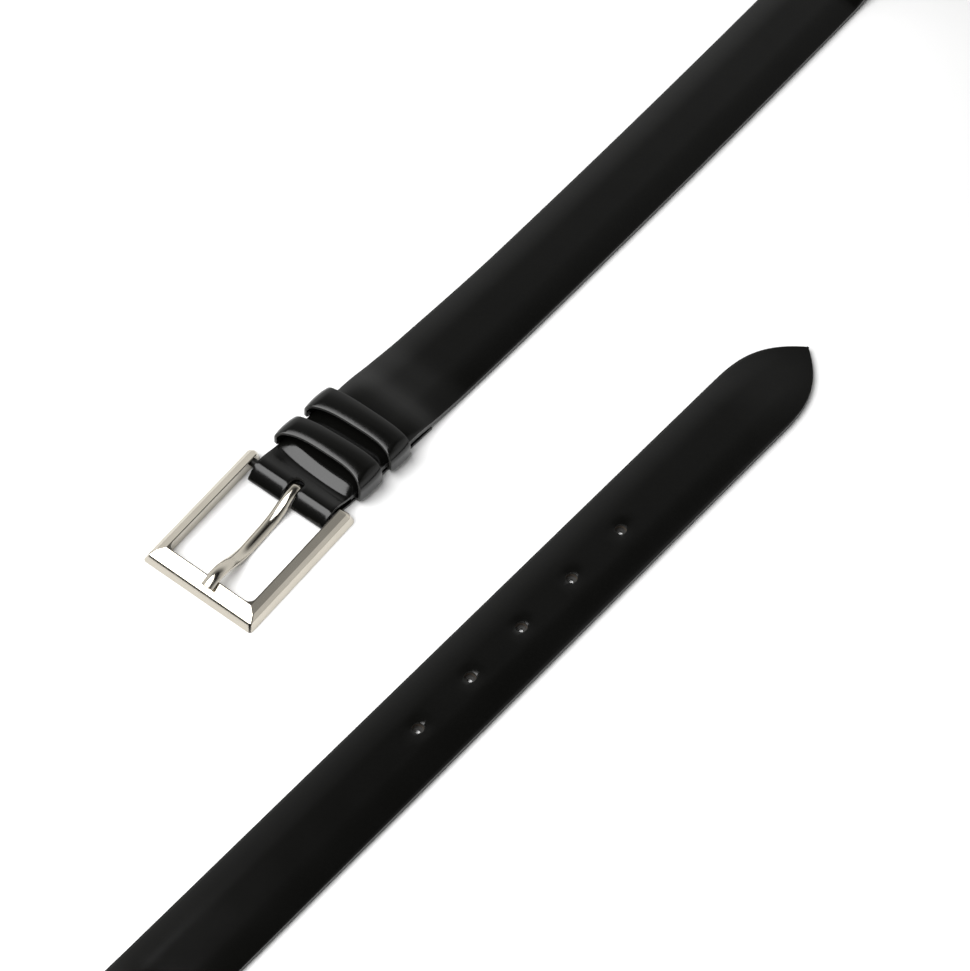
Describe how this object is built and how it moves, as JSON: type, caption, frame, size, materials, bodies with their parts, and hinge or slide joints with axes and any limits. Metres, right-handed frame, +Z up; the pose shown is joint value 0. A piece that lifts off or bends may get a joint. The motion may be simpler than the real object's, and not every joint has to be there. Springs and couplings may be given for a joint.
{
  "type": "leather belt",
  "caption": "Black padded leather dress belt with a pointed punched tail, a polished bar buckle with a swinging prong, and keeper loops, laid in an open loop.",
  "frame": {"origin": "middle of the belt's footprint, on the surface it lies on", "axes": "+X along both flat ends of the strap, from the buckle towards the strap's middle and from the tail's root to its tip; +Z up from the surface; the grain side of both flat ends faces +Z"},
  "size_m": [0.6104, 0.3224, 0.0301],
  "materials": {
    "black_calf": "smooth semi-gloss, edges painted black",
    "lining_leather": "fine matt split leather",
    "padding_board": "bonded leather fibre board",
    "woven_tape": "plain woven nylon",
    "waxed_thread": "waxed polyester thread",
    "polished_nickel": "polished nickel plate on a zinc casting",
    "bar_steel": "nickel-plated drawn steel",
    "staple_wire": "drawn flat wire"
  },
  "bodies": {
    "strap": {"outer_leather": "black_calf", "lining": "lining_leather", "padding_core": "padding_board", "fold_tape": "woven_tape", "stitch_thread": "waxed_thread", "keeper_front": "black_calf", "keeper_front_staple": "staple_wire"},
    "buckle": {"buckle_frame": "polished_nickel", "buckle_bar": "bar_steel"},
    "prong": {"prong": "polished_nickel"},
    "rear_keeper": {"keeper_rear": "black_calf", "keeper_rear_staple": "staple_wire"}
  },
  "joints": [
    {"name": "buckle_swing", "type": "hinge", "parent": "strap", "child": "buckle", "pos_m": [-0.06743, 0.1378, 0.0031], "axis": [-0.0698, 0.9976, 0], "range_deg": [-110, 20]},
    {"name": "prong_swing", "type": "hinge", "parent": "buckle", "child": "prong", "pos_m": [-0.06743, 0.1378, 0.0031], "axis": [-0.0698, 0.9976, 0], "range_deg": [0, 80]},
    {"name": "rear_keeper_slide", "type": "slide", "parent": "strap", "child": "rear_keeper", "axis": [1, 0, 0], "range_m": [-0.004, 0.003]}
  ]
}
